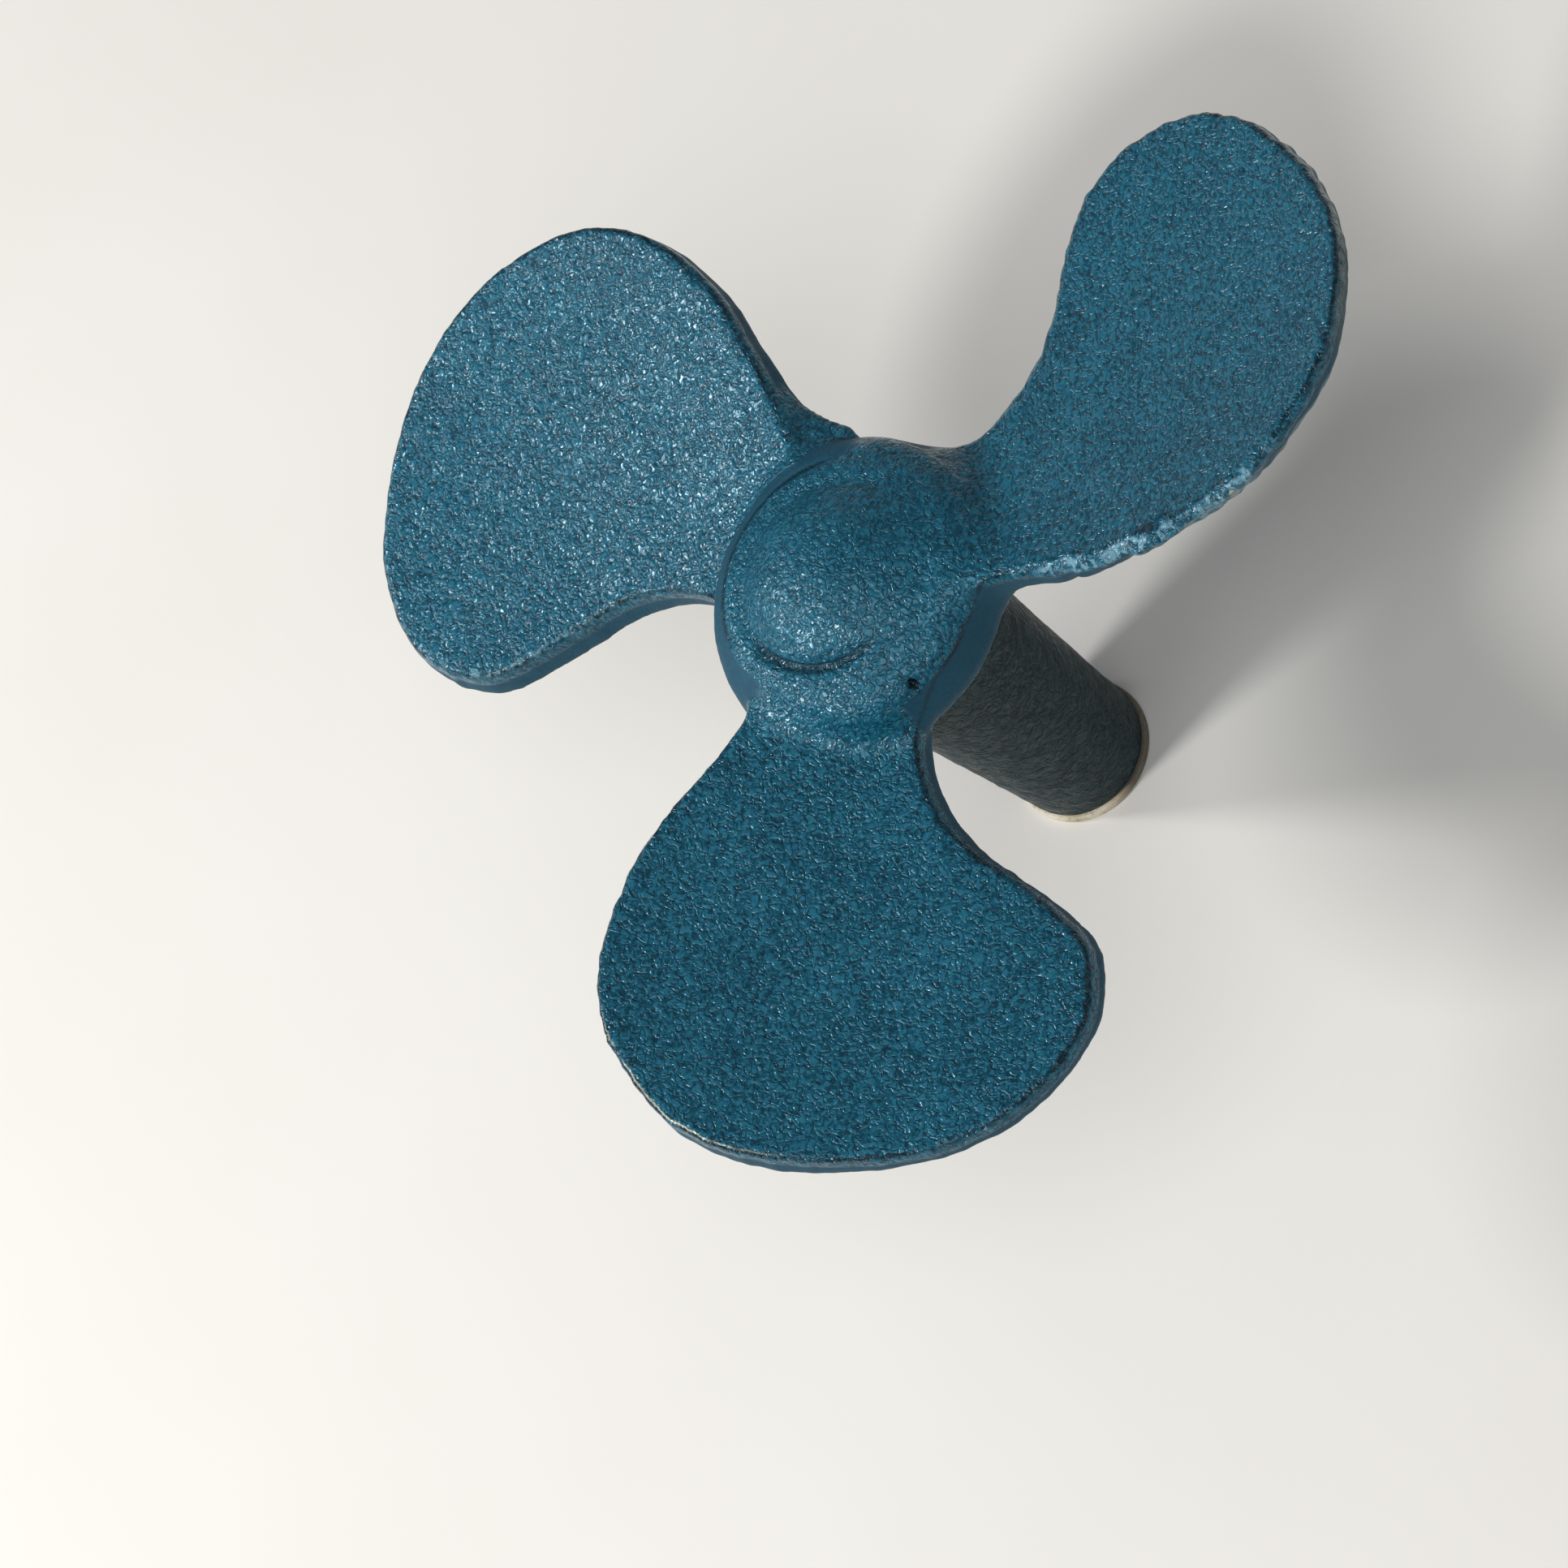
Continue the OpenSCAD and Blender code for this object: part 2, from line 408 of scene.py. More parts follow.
def casting_distance(x, y, z):
    """Distance to the whole casting, bored from behind."""
    radius = np.hypot(x, y)
    distance = hub_distance(x, y, z)
    for name, fillet in ROOT_FILLET.items():
        distance = smooth_min(distance, blade_distance(x, y, z, name), fillet)
    bore = np.maximum(radius - BORE_R, z - BORE_TOP)
    chamber = np.maximum(radius - CHAMBER_R, z - CHAMBER_TOP)
    return np.maximum(distance, -np.minimum(bore, chamber))


def surface_net(values, origin, cell):
    """Vertices and quads of the zero surface of values on a regular grid."""
    inside = values < 0
    size = np.array(values.shape)
    cells = size - 1
    corner_of = {c: tuple(slice(k, k + n) for k, n in zip(c, cells))
                 for c in itertools.product((0, 1), repeat=3)}
    count = sum(inside[s].astype(np.int8) for s in corner_of.values())
    active = np.argwhere((count > 0) & (count < 8))
    number = np.full(cells, -1)
    number[tuple(active.T)] = np.arange(len(active))

    crossing_sum = np.zeros((len(active), 3))
    crossings = np.zeros(len(active))
    for start in corner_of:
        for axis in range(3):
            if start[axis]:
                continue
            end = tuple(c + (k == axis) for k, c in enumerate(start))
            a = values[tuple((active + start).T)]
            b = values[tuple((active + end).T)]
            crosses = (a < 0) != (b < 0)
            along = np.where(crosses, a / np.where(crosses, a - b, 1), 0)
            point = np.array(start) + np.zeros((len(active), 3))
            point[:, axis] += along
            crossing_sum += point * crosses[:, None]
            crossings += crosses
    vertices = origin + cell * (active + crossing_sum / crossings[:, None])

    quads = []
    for axis in range(3):
        b, c = (axis + 1) % 3, (axis + 2) % 3
        low = [slice(1, n - 1) for n in size]
        high = [slice(1, n - 1) for n in size]
        low[axis], high[axis] = slice(0, size[axis] - 1), slice(1, size[axis])
        here, there = inside[tuple(low)], inside[tuple(high)]
        for leaving in (True, False):
            at = np.argwhere((here != there) & (here == leaving))
            at += [0 if k == axis else 1 for k in range(3)]
            ring = []
            for db, dc in ((0, 0), (1, 0), (1, 1), (0, 1)):
                shift = np.zeros(3, int)
                shift[b], shift[c] = -db, -dc
                ring.append(number[tuple((at + shift).T)])
            ring = np.stack(ring, axis=1)
            quads.append(ring if leaving else ring[:, ::-1])
    return vertices, np.concatenate(quads)


def gradient(points, reach=0.05):
    """Slope of the casting's distance field."""
    columns = []
    for axis in range(3):
        ahead, behind = points.copy(), points.copy()
        ahead[:, axis] += reach
        behind[:, axis] -= reach
        columns.append(casting_distance(*ahead.T) - casting_distance(*behind.T))
    return np.stack(columns, axis=1) / (2 * reach)


def unit(vectors):
    """Rows scaled to length 1."""
    return vectors / np.maximum(np.linalg.norm(vectors, axis=1, keepdims=True), 1e-9)


def casting_surface():
    """Points, quads and outward normals of the casting, each point pulled onto the surface."""
    origin = casting_low - 1.5
    counts = np.ceil((casting_high - casting_low + 3.0) / CELL).astype(int) + 1
    x, y, z = (origin[k] + CELL * np.arange(counts[k]) for k in range(3))
    values = casting_distance(x[:, None, None], y[None, :, None], z[None, None, :])
    vertices, quads = surface_net(values, origin, CELL)
    for _ in range(2):
        slope = gradient(vertices)
        size = np.maximum(np.sum(slope**2, axis=1), 0.25)
        move = -casting_distance(*vertices.T) / size
        vertices = vertices + np.clip(move, -CELL / 2, CELL / 2)[:, None] * slope
    return vertices, quads, unit(gradient(vertices))


def casting_marks(points):
    """Four values for each point: millimetres past the crease between front face and side wall,
    size of the bevel beside it, and from 0 to 1 whether it lies on the rough front over a blade
    and whether it lies on the hub's smooth far side."""
    x, y, z = points.T
    crease_r = HUB_R - FRONT_ROUND * (1 - math.cos(math.radians(CREASE_ANGLE))) + web_swell(x, y)
    across = np.hypot(x, y) - crease_r + CREASE_Z - z
    bevels, over = np.zeros(len(points)), np.zeros(len(points))
    nearest_blade = np.full(len(points), np.inf)
    for name in BLADE_AT:
        rim, depth, bevel = blade_parts(x, y, z, name)
        across = smooth_min(across, np.maximum(rim + depth, depth - 2.5), 2.0)
        away = blade_distance(x, y, z, name)
        nearest_blade = np.minimum(nearest_blade, away)
        bevels = np.maximum(bevels, bevel * (np.abs(away) < 0.3))
        over = np.maximum(over, step(-rim, -1.0, 0.0) * step(-depth, -2.0, -1.0))
    smooth_side = step(nearest_blade - np.abs(hub_distance(x, y, z)), 0.1, 0.7)
    smooth_side *= step(np.hypot(x, y), SEAM_R - 0.2, SEAM_R + 0.4)
    smooth_side *= step(-turn_from(x, y, SEAM_AT + 10), -90, -65)
    return np.clip(across, -6, 6), bevels, over * (1 - smooth_side), smooth_side


def build_mesh(name, vertices, faces, marks=None):
    """A smooth-shaded object from millimetre points, with a float attribute for each mark."""
    mesh = bpy.data.meshes.new(name)
    mesh.from_pydata((np.asarray(vertices) * MM).tolist(), [], [list(map(int, f)) for f in faces])
    for label, values in (marks or {}).items():
        mesh.attributes.new(label, "FLOAT", "POINT").data.foreach_set("value", values)
    mesh.shade_smooth()
    mesh.validate()
    obj = bpy.data.objects.new(name, mesh)
    bpy.context.scene.collection.objects.link(obj)
    return obj


def finish_piece(obj, body, node):
    """obj rides on body and stands for the node, which it hides."""
    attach(obj, body)
    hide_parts(node)
    return obj


def sand_hole(x, y, z):
    """1 at the bottom of the sand hole on the hub's side, 0 from its rim on."""
    radius = np.hypot(x, y)
    round_hub = np.radians(turn_from(x, y, PIT_AT)) * HUB_R
    pit = np.maximum(1 - np.hypot(round_hub, z - PIT_Z) / PIT_SIZE, 0)
    return pit * ((radius > NOSE_R) & (radius < HUB_R + 3))


def relief(points, rough, crust):
    """Height of grain, crust and sags on the casting, and how far its lumps stand out."""
    lumps, pores, waves = Noise(5), Noise(7), Noise(9)
    mounds = lumps(points, 1.1) + 0.4 * pores(points, 2.3)
    height = FACE_GRAIN * rough * mounds
    height += WALL_GRAIN * (1 - rough) * pores(points, 2.4) + SAG * waves(points, 9.0)
    height += CRUST_GRAIN * crust * pores(points + 50, 1.1)
    bored = np.hypot(points[:, 0], points[:, 1]) < BORE_R + 0.3
    bored &= points[:, 2] < CHAMBER_TOP + 0.3
    height[bored] = 0
    return height, mounds


def wear_marks(x, y, across):
    """Strength of scuffs, worn rims that are partly painted highlight, and the grey wall at each
    point.
    """
    scuff, worn_and_glint, grey = (np.zeros(len(x)) for _ in range(3))
    for name, angle in BLADE_AT.items():
        u, v = in_blade_frame(x, y, angle)
        clear_of_root = u > 22
        scuff += around_middle(u, v, SCUFFED_RIM[name]) * clear_of_root
        worn_and_glint += around_middle(u, v, WORN_AND_GLINT_RIM[name]) * bump(across, -0.15, 0.45) * clear_of_root
        grey += around_middle(u, v, GREY_WALL[name]) * step(across, 0.2, 0.7) * clear_of_root
    return {"scuff": scuff, "worn_and_glint": worn_and_glint, "grey": grey}


def make_casting():
    """The casting's mesh with its relief, and the marks that its paint reads."""
    points, quads, normals = casting_surface()
    across, bevel, over, smooth_side = casting_marks(points)
    rough = np.maximum(step(np.abs(normals[:, 2]), 0.3, 0.6) * (1 - smooth_side), over)
    chipped = step(bevel, 0.6, 1.2)
    crust = chipped * bump(across, 0.2, 1.8)
    height, mounds = relief(points, rough, crust)
    pit = sand_hole(*points.T)
    points = points + (height - PIT_DEPTH * pit)[:, None] * normals
    x, y, z = points.T
    marks = {
        "rough": rough,
        "hollow": np.clip(-1.5 * mounds, -1, 1) * rough,
        "across": across,
        "crust": crust,
        "pit": pit,
        "lip": chipped * bump(across + bevel, -0.25, 0.6),
        "groove": grooves(x, y) * step(z, FRONT_FROM, FRONT_TO),
    }
    marks.update(wear_marks(x, y, across))
    return finish_piece(build_mesh("propeller_casting", points, quads, marks), "rotor", "propeller")


# ---------------------------------------------------------------- turned pieces
def turned(name, profile, segments=96, hollow=False, radius_at=None):
    """Mesh turned about the axis from (radius, z) points. A hollow one has a closed section.
    radius_at may change each radius."""
    angles = np.linspace(0, 2 * math.pi, segments, endpoint=False)
    rings = []
    for radius, z in profile:
        radii = np.full(segments, float(radius))
        if radius_at is not None:
            radii = radius_at(radii, angles, z)
        rings.append(np.stack([radii * np.cos(angles), radii * np.sin(angles),
                               np.full(segments, float(z))], axis=1))
    points = np.concatenate(rings)
    count = len(rings)
    faces = []
    for i in range(count if hollow else count - 1):
        here, above = i * segments, ((i + 1) % count) * segments
        for k in range(segments):
            following = (k + 1) % segments
            faces.append((here + k, here + following, above + following, above + k))
    if not hollow:
        faces.append(tuple(reversed(range(segments))))
        faces.append(tuple(range((count - 1) * segments, count * segments)))
    return build_mesh(name, points, faces)


def soft_ring(low, high, outer, inner, edge):
    """Section of a washer with rounded edges, counter-clockwise."""
    corners = [(outer - edge, low + edge), (outer - edge, high - edge),
               (inner + edge, high - edge), (inner + edge, low + edge)]
    section = []
    for corner, start in zip(corners, (-90, 0, 90, 180)):
        section += arc(corner, edge, start, start + 90, 4)
    return section


def make_post():
    """The tapered sleeve, cast with a finer grain, and eased at both ends."""
    low, high = post_low[2], post_high[2]
    top_r = post_high[0]
    length = high - low - 2 * POST_EDGE
    rows = int(length / 0.5)
    profile = [(POST_FOOT_R - POST_EDGE, low), (POST_FOOT_R - 0.15, low + 0.15)]
    profile.append((POST_FOOT_R, low + POST_EDGE))
    for i in range(1, rows):
        t = i / rows
        profile.append((POST_FOOT_R + (top_r - POST_FOOT_R) * t, low + POST_EDGE + length * t))
    profile += [(top_r, high - POST_EDGE), (top_r - 0.15, high - 0.15), (top_r - POST_EDGE, high)]
    profile += [(CLEAR_R + 0.2, high), (CLEAR_R, high - 0.2)]
    profile += [(CLEAR_R, low + 0.2), (CLEAR_R + 0.2, low)]
    lumps, waves = Noise(41), Noise(43)

    def grainy(radii, angles, z):
        if radii[0] < CLEAR_R + 1 or not low + POST_EDGE <= z <= high - POST_EDGE:
            return radii
        heights = np.full(len(angles), z)
        spots = np.stack([radii * np.cos(angles), radii * np.sin(angles), heights], axis=1)
        billow = 2.2 * np.abs(lumps(spots, 1.3)) - 0.8
        return radii + 0.05 * billow + 0.05 * waves(spots, 8.0) - 0.05

    obj = turned("post_sleeve", profile, 120, hollow=True, radius_at=grainy)
    return finish_piece(obj, "stand", "post")


def make_washer(name, node, edge):
    """A flat washer with rounded edges in the place of a node."""
    low, high = box_mm(node)
    section = soft_ring(low[2], high[2], high[0], CLEAR_R, edge)
    return finish_piece(turned(name, section, hollow=True), "stand", node)


def make_spindle():
    """Headed spindle. A rolled thread runs from its end to the middle of the board."""
    low, high = spindle_low[2], spindle_high[2]
    head_r, head_low = spindle_high[0], high - HEAD_T
    rows = int((THREAD_TOP - low) / (THREAD_PITCH / 8))
    heights = np.linspace(low + 0.01, THREAD_TOP, rows)
    chamfer = np.minimum(SHANK_R, SHANK_R - 0.8 + (heights - low))
    profile = [(SHANK_R - 1.2, low)] + list(zip(chamfer, heights))
    profile += [(SHANK_R, z) for z in np.linspace(THREAD_TOP + 0.5, head_low - 0.4, 12)]
    profile += arc((SHANK_R + 0.4, head_low - 0.4), 0.4, 180, 90, 4)
    profile += arc((head_r - 0.3, head_low + 0.3), 0.3, -90, 0, 4)
    profile += arc((head_r - 0.5, high - 0.5), 0.5, 0, 90, 5)
    profile += [(2.4, high), (1.0, high - 0.15)]

    def threaded(radii, angles, z):
        if z > THREAD_TOP:
            return radii
        phase = (z / THREAD_PITCH - angles / (2 * math.pi)) % 1
        cut = THREAD_DEPTH * np.clip(1.15 * (1 - np.abs(2 * phase - 1)) - 0.08, 0, 1)
        cut *= step(THREAD_TOP - z, 0, 2)
        return np.minimum(radii, SHANK_R - cut)

    obj = turned("spindle_rod", profile, 72, radius_at=threaded)
    return finish_piece(obj, "stand", "spindle")


def make_nut():
    """Hexagon nut with turned corners, and a bore eased at both ends."""
    low, high = box_mm("back_nut")
    bottom, top = low[2], high[2]
    flat = min(high[0], high[1])
    corner = flat / math.cos(math.radians(30))
    face_r = flat - 0.15
    bore, ease = SHANK_R + THREAD_CLEAR, 0.6
    section = [(face_r, bottom)]
    section += [(corner, bottom + d) for d in np.linspace(0.05, top - bottom - 0.05, 24)]
    section += [(face_r, top), (bore + ease, top), (bore, top - ease)]
    section += [(bore, bottom + ease), (bore + ease, bottom)]

    def faceted(radii, angles, z):
        if radii[0] < flat - 1:
            return radii
        side = np.radians(60)
        off_middle = (angles + side / 2) % side - side / 2
        cone = flat - 0.1 + 1.6 * min(z - bottom, top - z)
        return np.minimum(np.minimum(flat / np.cos(off_middle), cone), radii)

    obj = turned("back_nut_hex", section, 144, hollow=True, radius_at=faceted)
    return finish_piece(obj, "stand", "back_nut")


# ---------------------------------------------------------------- materials
def new_material(name):
    """A node material, its tree and its surface shader."""
    material = bpy.data.materials.new(name)
    material.use_nodes = True
    tree = material.node_tree
    return material, tree, tree.nodes["Principled BSDF"]


class Wires:
    """Short calls for the nodes that the materials share."""

    def __init__(self, tree):
        self.tree = tree
        self.place = tree.nodes.new("ShaderNodeTexCoord").outputs["Object"]

    def put(self, target, value):
        """Link a socket to target, or set target to a plain value."""
        if isinstance(value, bpy.types.NodeSocket):
            self.tree.links.new(value, target)
        else:
            target.default_value = value

    def noise(self, size_mm, detail=2.0, distortion=0.0, stretch=None):
        """Noise from 0 to 1 with features of about size_mm."""
        node = self.tree.nodes.new("ShaderNodeTexNoise")
        node.inputs["Scale"].default_value = 1 / (size_mm * MM)
        node.inputs["Detail"].default_value = detail
        node.inputs["Distortion"].default_value = distortion
        place = self.place
        if stretch:
            mapping = self.tree.nodes.new("ShaderNodeMapping")
            mapping.inputs["Scale"].default_value = stretch
            self.put(mapping.inputs["Vector"], place)
            place = mapping.outputs["Vector"]
        self.put(node.inputs["Vector"], place)
        return node.outputs["Fac"]

    def folds(self, size_mm, stretch=None):
        """0 along thin valleys that wind between lumps of about size_mm, up to about 0.3."""
        height = self.noise(size_mm, 1.0, 0.5, stretch)
        return self.math("ABSOLUTE", self.math("SUBTRACT", height, 0.5))

    def mounds(self, folds, swell):
        """Height of cast grain: lumps between folds, over a slower swell."""
        return self.math("ADD", self.fade(folds, 0.0, 0.13, 0.0, 0.45), self.times(swell, 0.85))

    def mark(self, label):
        """A mark that the mesh carries."""
        node = self.tree.nodes.new("ShaderNodeAttribute")
        node.attribute_name = label
        return node.outputs["Fac"]

    def math(self, operation, *values):
        """Result of a Math node."""
        node = self.tree.nodes.new("ShaderNodeMath")
        node.operation = operation
        for socket, value in zip(node.inputs, values):
            self.put(socket, value)
        return node.outputs["Value"]

    def times(self, a, b):
        return self.math("MULTIPLY", a, b)

    def fade(self, value, low, high, to_low=0.0, to_high=1.0):
        """Smooth change from to_low to to_high as value goes from low to high."""
        node = self.tree.nodes.new("ShaderNodeMapRange")
        node.interpolation_type = "SMOOTHSTEP"
        for label, given in (("Value", value), ("From Min", low), ("From Max", high),
                             ("To Min", to_low), ("To Max", to_high)):
            self.put(node.inputs[label], given)
        return node.outputs["Result"]

    def mix(self, factor, a, b):
        """Colour that goes from a to b as factor goes from 0 to 1."""
        node = self.tree.nodes.new("ShaderNodeMix")
        node.data_type = "RGBA"
        self.put(node.inputs["Factor"], factor)
        for label, colour in (("A", a), ("B", b)):
            socket = next(s for s in node.inputs if s.name == label and s.type == "RGBA")
            self.put(socket, colour)
        return next(s for s in node.outputs if s.type == "RGBA")

    def bump(self, height, distance_mm, strength=1.0):
        """Normal of a surface with this height, where 1 is distance_mm."""
        node = self.tree.nodes.new("ShaderNodeBump")
        node.inputs["Strength"].default_value = strength
        node.inputs["Distance"].default_value = distance_mm * MM
        self.put(node.inputs["Height"], height)
        return node.outputs["Normal"]


def srgb(*channels):
    """Linear colour of an sRGB colour given from 0 to 255."""
    linear = [((c / 255 + 0.055) / 1.055) ** 2.4 if c > 10 else c / 3294 for c in channels]
    return (*linear, 1.0)


def dark_wash_and_shade(w, folds, swell, across, rough_front):
    """Where it is painted dark: a dark wash in the grain's valleys that is also painted shade there,
    and painted shade in the sand hole, along the chipped lip and in the groove.
    """
    valley = w.times(w.fade(folds, 0.0, 0.055, 1.0, 0.0), w.fade(swell, 0.40, 0.56, 1.0, 0.45))
    valley = w.math("MAXIMUM", valley, w.fade(swell, 0.32, 0.50, 0.7, 0.0))
    wash_and_shade = w.times(w.fade(w.mark("hollow"), -0.8, 0.8, 0.75, 1.0), valley)
    shade = w.fade(across, -6.0, -0.6, 0.7, 0.95)
    wash_and_shade = w.times(wash_and_shade, w.times(shade, rough_front(0.25, 1.0)))
    wash_and_shade = w.math("MAXIMUM", wash_and_shade, w.fade(w.mark("pit"), 0.05, 0.3))
    wash_and_shade = w.math("MAXIMUM", wash_and_shade, w.times(w.mark("lip"), w.fade(w.noise(1.3, 2.0), 0.4, 0.56)))
    return w.math("MAXIMUM", wash_and_shade, w.fade(w.mark("groove"), 0.05, 0.25, 0.0, 0.75))


def painted_crease_shade(w, across, crust):
    """Where a wandering dark line of painted shade follows the crease between front face and wall.
    """
    wander = w.fade(w.noise(1.6, 2.0), 0.3, 0.7, -0.2, 0.2)
    line = w.fade(w.math("ABSOLUTE", w.math("ADD", across, wander)), 0.12, 0.5, 1.0, 0.0)
    line = w.times(line, w.fade(w.noise(5.0, 2.0), 0.35, 0.6, 0.35, 0.85))
    return w.times(line, w.fade(crust, 0.1, 0.5, 1.0, 0.2))


def add_wear(w, colour, across, crust):
    """The colour with the grey wall, pale crust and crumbs that are partly worn paint and partly
    painted highlight, the cream line and bare spots.
    """
    streaks = w.fade(w.noise(1.1, 3.0, 0.6), 0.35, 0.65)
    colour = w.mix(w.mark("grey"), colour, w.mix(streaks, srgb(34, 60, 68), srgb(92, 108, 110)))
    speck = w.fade(w.noise(1.0, 3.0, 0.4), 0.44, 0.62)
    # pale blue crumbs on the crust and the worn rims: worn paint with painted highlight
    worn_and_glint = w.math("MAXIMUM", w.fade(crust, 0.1, 0.55), w.times(w.mark("worn_and_glint"), 0.9))
    worn_and_glint = w.times(worn_and_glint, speck)
    colour = w.mix(w.times(worn_and_glint, 0.7), colour, srgb(128, 172, 190))
    scuff = w.fade(w.math("ABSOLUTE", w.math("ADD", across, 0.25)), 0.04, 0.2, 1.0, 0.0)
    scuff = w.times(scuff, w.times(w.mark("scuff"), w.fade(w.noise(2.4, 2.0), 0.34, 0.5)))
    colour = w.mix(scuff, colour, srgb(188, 184, 160))
    bare = w.times(w.fade(crust, 0.3, 0.7), w.fade(w.noise(3.4, 2.0), 0.64, 0.7))
    return w.mix(bare, colour, srgb(196, 186, 160))


def casting_paint():
    """Satin teal over rough iron: a dark wash with painted shade in the grain, painted shade on
    walls and creases, painted highlight on lump tops, and rim wear that is partly painted highlight.
    """
    material, tree, shader = new_material("teal_casting_paint")
    w = Wires(tree)
    rough, across, crust = (w.mark(m) for m in ("rough", "across", "crust"))
    folds, swell = w.folds(0.85), w.noise(0.58, 0.8, 0.4)
    mounds = w.mounds(folds, swell)

    def rough_front(on_wall, on_front):
        return w.fade(rough, 0.1, 0.7, on_wall, on_front)

    cloud = w.fade(w.noise(9.0, 3.0), 0.35, 0.65)
    colour = w.mix(cloud, srgb(15, 82, 105), srgb(21, 91, 115))
    # painted highlight: the lumps' tops get a lighter teal
    colour = w.mix(w.fade(mounds, 0.75, 1.0, 0.0, 0.45), colour, srgb(46, 113, 136))
    # painted shade: the smooth side walls get a darker teal
    colour = w.mix(rough_front(0.9, 0.0), colour, srgb(4, 62, 84))
    # a dark wash in the grain's valleys, with painted shade there and in the pit, along the lip and
    # in the groove
    colour = w.mix(dark_wash_and_shade(w, folds, swell, across, rough_front), colour, srgb(3, 27, 41))
    # painted shade: a dark line along the crease between front face and wall
    colour = w.mix(painted_crease_shade(w, across, crust), colour, srgb(6, 18, 28))
    colour = add_wear(w, colour, across, crust)

    gloss = w.fade(w.noise(1.4, 3.0), 0.3, 0.7, 0.17, 0.25)
    w.put(shader.inputs["Base Color"], colour)
    w.put(shader.inputs["Roughness"], w.math("ADD", gloss, rough_front(0.45, 0.0)))
    w.put(shader.inputs["Normal"], w.bump(w.times(mounds, rough_front(0.2, 1.0)), 0.20))
    shader.inputs["Specular IOR Level"].default_value = 0.47
    shader.inputs["Specular Tint"].default_value = (0.7, 0.93, 1.0, 1.0)
    return material


def post_paint():
    """Flat slate grey over fine casting grain, with painted shade in its pits."""
    material, tree, shader = new_material("slate_post_paint")
    w = Wires(tree)
    longer = (1, 1, 0.8)
    folds, swell = w.folds(1.1, longer), w.noise(0.8, 1.0, 0.4, longer)
    cloud = w.fade(w.noise(7.0, 3.0), 0.35, 0.65)
    colour = w.mix(cloud, srgb(22, 46, 51), srgb(30, 54, 58))
    # painted shade: the grain's pits are darker
    pit_shade = w.math("MAXIMUM", w.fade(folds, 0.0, 0.05, 0.7, 0.0), w.fade(swell, 0.32, 0.46, 0.7, 0.0))
    w.put(shader.inputs["Base Color"], w.mix(pit_shade, colour, srgb(6, 15, 19)))
    w.put(shader.inputs["Roughness"], w.fade(w.noise(1.5, 2.0), 0.3, 0.7, 0.38, 0.55))
    w.put(shader.inputs["Normal"], w.bump(w.mounds(folds, swell), 0.24))
    shader.inputs["Specular IOR Level"].default_value = 0.2
    return material


def pale_washer():
    """Pale, dry foot washer, with painted shade on all but its -Y side."""
    material, tree, shader = new_material("pale_foot_washer")
    w = Wires(tree)
    fibres = w.noise(0.6, 4.0)
    colour = w.mix(w.fade(w.noise(4.0, 3.0), 0.35, 0.7), srgb(226, 217, 196), srgb(190, 176, 146))
    colour = w.mix(w.fade(fibres, 0.55, 0.75, 0.0, 0.5), colour, srgb(120, 108, 84))
    side = tree.nodes.new("ShaderNodeSeparateXYZ")
    w.put(side.inputs["Vector"], w.place)
    # painted shade: darker away from the -Y side
    painted_shade = w.fade(side.outputs["Y"], -6.8 * MM, -3.6 * MM, 0.0, 0.85)
    w.put(shader.inputs["Base Color"], w.mix(painted_shade, colour, srgb(58, 52, 42)))
    w.put(shader.inputs["Roughness"], w.fade(fibres, 0.3, 0.7, 0.6, 0.85))
    w.put(shader.inputs["Normal"], w.bump(fibres, 0.05, 0.7))
    return material


def metal(name, bright, dull, roughness):
    """Turned or plated metal with fine grain, stains and uneven gloss."""
    material, tree, shader = new_material(name)
    w = Wires(tree)
    grain = w.noise(1.2, 3.0)
    w.put(shader.inputs["Base Color"], w.mix(w.fade(w.noise(3.5, 4.0), 0.4, 0.68), bright, dull))
    w.put(shader.inputs["Roughness"], w.fade(grain, 0.3, 0.7, roughness, roughness + 0.16))
    w.put(shader.inputs["Normal"], w.bump(grain, 0.01, 0.5))
    shader.inputs["Metallic"].default_value = 1.0
    return material


def nylon():
    """Off-white nylon, a little cloudy."""
    material, tree, shader = new_material("nylon_washer")
    w = Wires(tree)
    grain = w.noise(0.5, 3.0)
    colour = w.mix(w.fade(w.noise(3.0, 3.0), 0.35, 0.7), srgb(228, 225, 212), srgb(206, 200, 182))
    w.put(shader.inputs["Base Color"], colour)
    w.put(shader.inputs["Roughness"], w.fade(grain, 0.3, 0.7, 0.4, 0.55))
    w.put(shader.inputs["Normal"], w.bump(grain, 0.015, 0.5))
    shader.inputs["Subsurface Weight"].default_value = 0.1
    return material


def dress(obj, material):
    """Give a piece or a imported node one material."""
    obj.data.materials.clear()
    obj.data.materials.append(material)


# ---------------------------------------------------------------- stage
def make_floor():
    """Pale plain floor at the height of the board's face."""
    corners = ((-1, -1), (1, -1), (1, 1), (-1, 1))
    points = [(x * FLOOR_REACH, y * FLOOR_REACH, FLOOR_Z * MM) for x, y in corners]
    mesh = bpy.data.meshes.new("floor")
    mesh.from_pydata(points, [], [(0, 1, 2, 3)])
    floor = bpy.data.objects.new("floor", mesh)
    bpy.context.scene.collection.objects.link(floor)
    material, tree, shader = new_material("pale_floor")
    w = Wires(tree)
    colour = w.mix(w.noise(60.0, 3.0), srgb(228, 226, 221), srgb(221, 218, 212))
    w.put(shader.inputs["Base Color"], colour)
    shader.inputs["Roughness"].default_value = 0.7
    dress(floor, material)


def towards(azimuth, elevation):
    """Direction from which a camera at this azimuth and elevation looks."""
    a, e = math.radians(azimuth), math.radians(elevation)
    return Vector((math.sin(a) * math.cos(e), -math.cos(a) * math.cos(e), math.sin(e)))


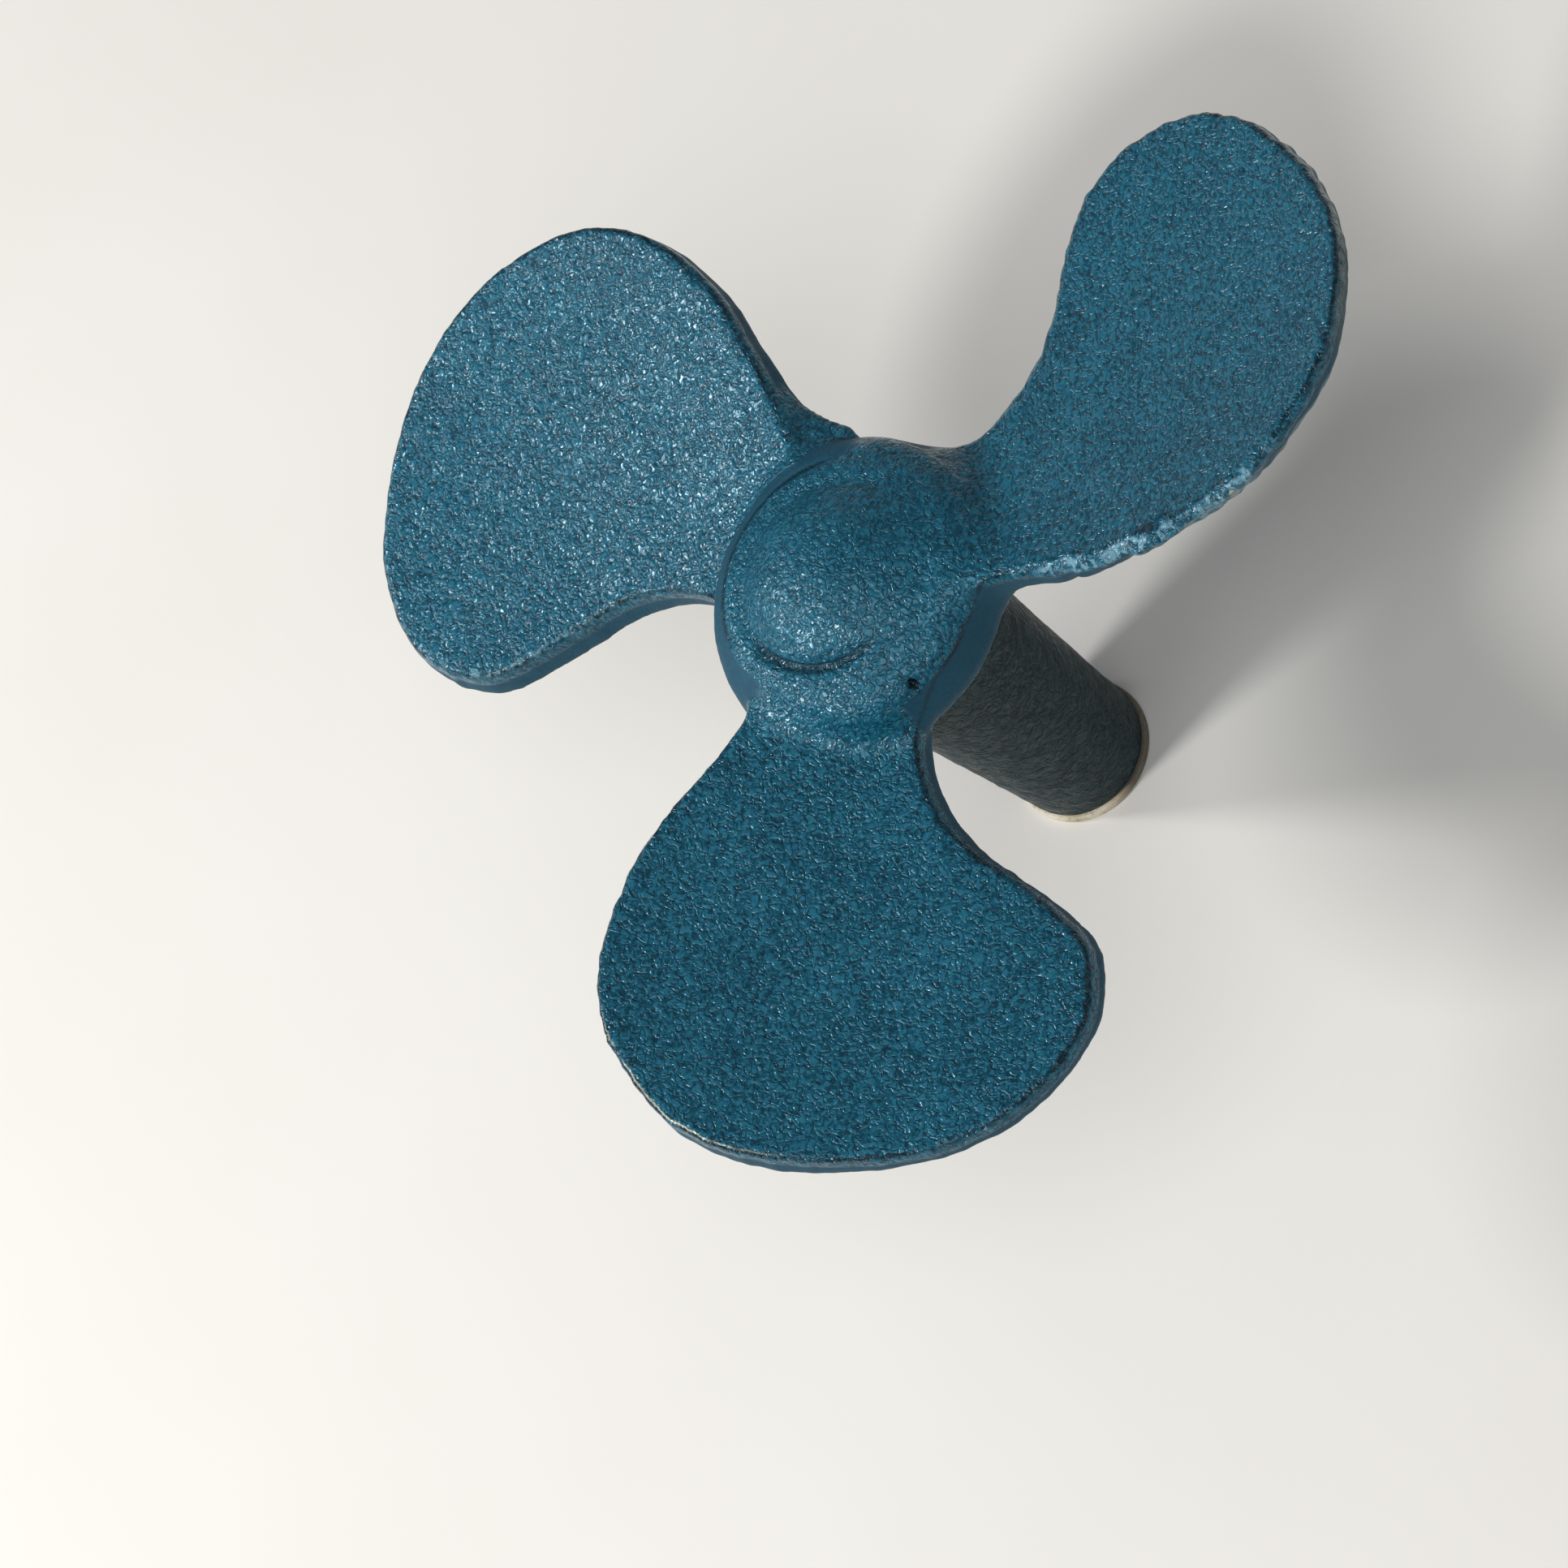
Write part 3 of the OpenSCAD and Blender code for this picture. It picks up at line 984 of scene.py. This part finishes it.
def area_light(name, azimuth, elevation, distance, size, power, colour):
    """A round soft light that points at the spot the camera looks at."""
    data = bpy.data.lights.new(name, "AREA")
    data.shape = "DISK"
    data.size, data.energy, data.color = size, power, colour
    light = bpy.data.objects.new(name, data)
    way = towards(azimuth, elevation)
    light.location = AIM + way * distance
    light.rotation_mode = "QUATERNION"
    light.rotation_quaternion = (-way).to_track_quat("-Z", "Y")
    bpy.context.scene.collection.objects.link(light)


def make_lights():
    """The studio's lights and its even surroundings."""
    for light in LIGHTS:
        area_light(*light)
    world = bpy.data.worlds.new("studio")
    world.use_nodes = True
    background = world.node_tree.nodes["Background"]
    background.inputs["Color"].default_value = WORLD_COLOUR
    background.inputs["Strength"].default_value = WORLD_STRENGTH
    bpy.context.scene.world = world


def make_camera():
    """Camera at the photo's angle."""
    data = bpy.data.cameras.new("camera")
    data.sensor_width, data.lens = 36.0, LENS
    data.clip_start, data.clip_end = 0.01, 20.0
    camera = bpy.data.objects.new("camera", data)
    way = towards(VIEW_AZIMUTH, VIEW_ELEVATION)
    camera.location = AIM + way * VIEW_DISTANCE
    camera.rotation_mode = "QUATERNION"
    roll = Quaternion((0, 0, 1), math.radians(VIEW_ROLL))
    camera.rotation_quaternion = (-way).to_track_quat("-Z", "Y") @ roll
    bpy.context.scene.collection.objects.link(camera)
    bpy.context.scene.camera = camera


# ---------------------------------------------------------------- the whole scene
zinc_steel = metal("zinc_steel", srgb(196, 198, 202), srgb(158, 160, 166), 0.28)
spring_steel = metal("spring_steel", srgb(150, 150, 152), srgb(110, 108, 106), 0.34)
bronze = metal("bronze_bush", srgb(190, 146, 84), srgb(150, 108, 60), 0.3)

dress(make_casting(), casting_paint())
dress(make_post(), post_paint())
dress(make_washer("foot_ring", "foot_washer", 0.25), pale_washer())
dress(make_washer("thrust_ring", "thrust_washer", 0.2), nylon())
dress(make_washer("back_ring", "back_washer", 0.2), zinc_steel)
dress(make_spindle(), zinc_steel)
dress(make_nut(), zinc_steel)
dress(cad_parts["lock_washer"], spring_steel)
dress(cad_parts["hub_bush"], bronze)

make_floor()
make_lights()
make_camera()
bpy.context.scene.view_settings.view_transform = "Standard"
